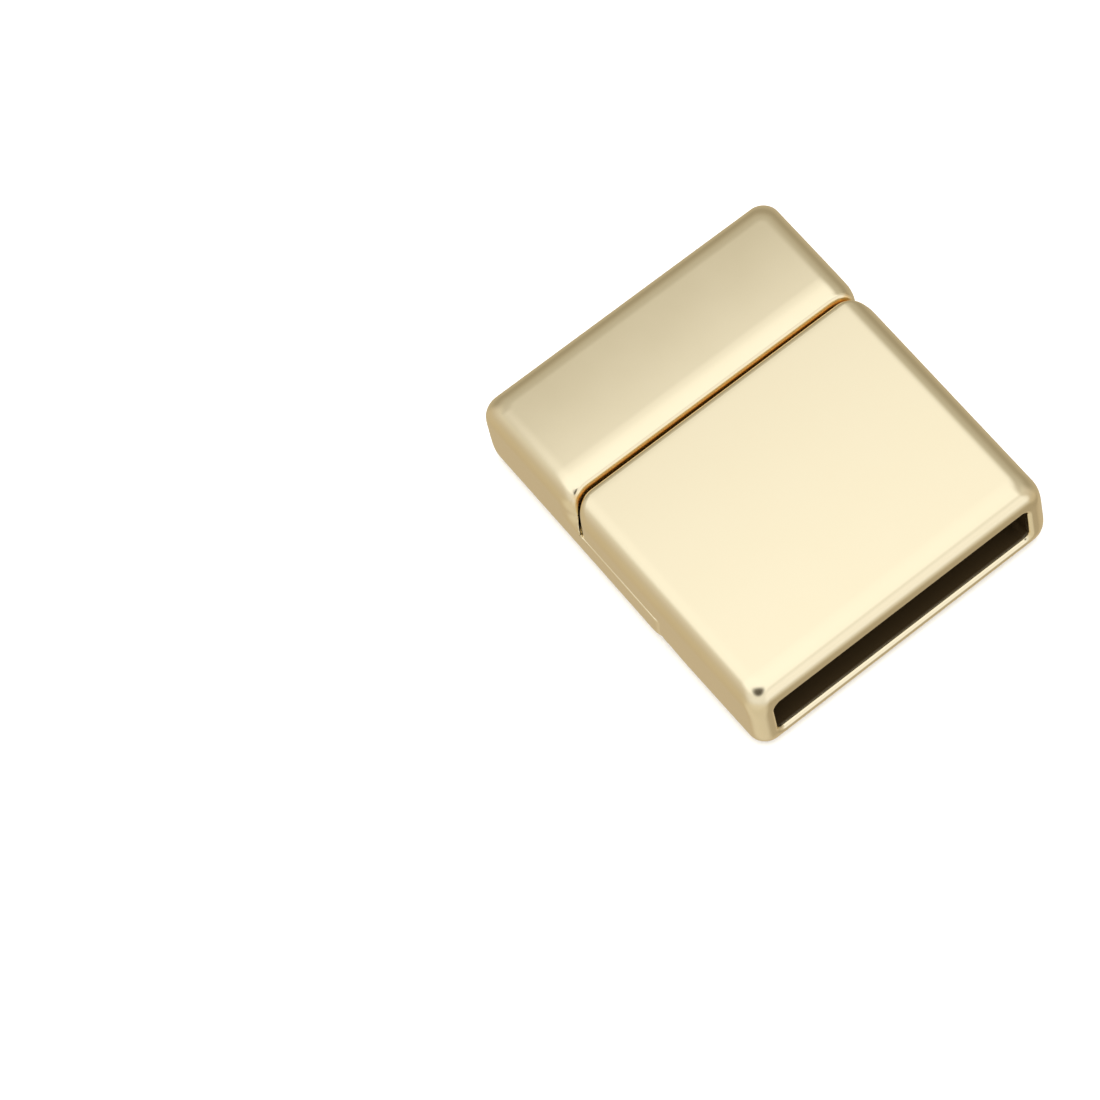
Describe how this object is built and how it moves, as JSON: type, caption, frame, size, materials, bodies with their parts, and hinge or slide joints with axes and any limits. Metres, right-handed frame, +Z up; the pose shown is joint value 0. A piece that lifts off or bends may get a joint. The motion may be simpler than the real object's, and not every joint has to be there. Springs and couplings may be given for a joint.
{
  "type": "magnetic clasp",
  "caption": "Closed magnetic clasp for a flat strap: cast halves in a half lap, held by disc magnets, with a blind strap slot at each end.",
  "frame": {"origin": "middle of the underside of the closed clasp", "axes": "+X along the strap, towards the slot of the half that is long on top; +Y across the strap; +Z up, out of the top face"},
  "size_m": [0.0276, 0.0233, 0.0059],
  "materials": {
    "satin_gold": "light champagne-gold plating over cast zinc alloy, satin",
    "nickel": "bright nickel plating on sintered magnets"
  },
  "bodies": {
    "lower": {"lower_half": "satin_gold", "lower_magnet_1": "nickel", "lower_magnet_2": "nickel"},
    "upper": {"upper_half": "satin_gold", "upper_magnet_1": "nickel", "upper_magnet_2": "nickel"}
  },
  "joints": [
    {"name": "part_lift", "type": "slide", "parent": "lower", "child": "upper", "axis": [0, 0, 1], "range_m": [0, 0.012]}
  ]
}
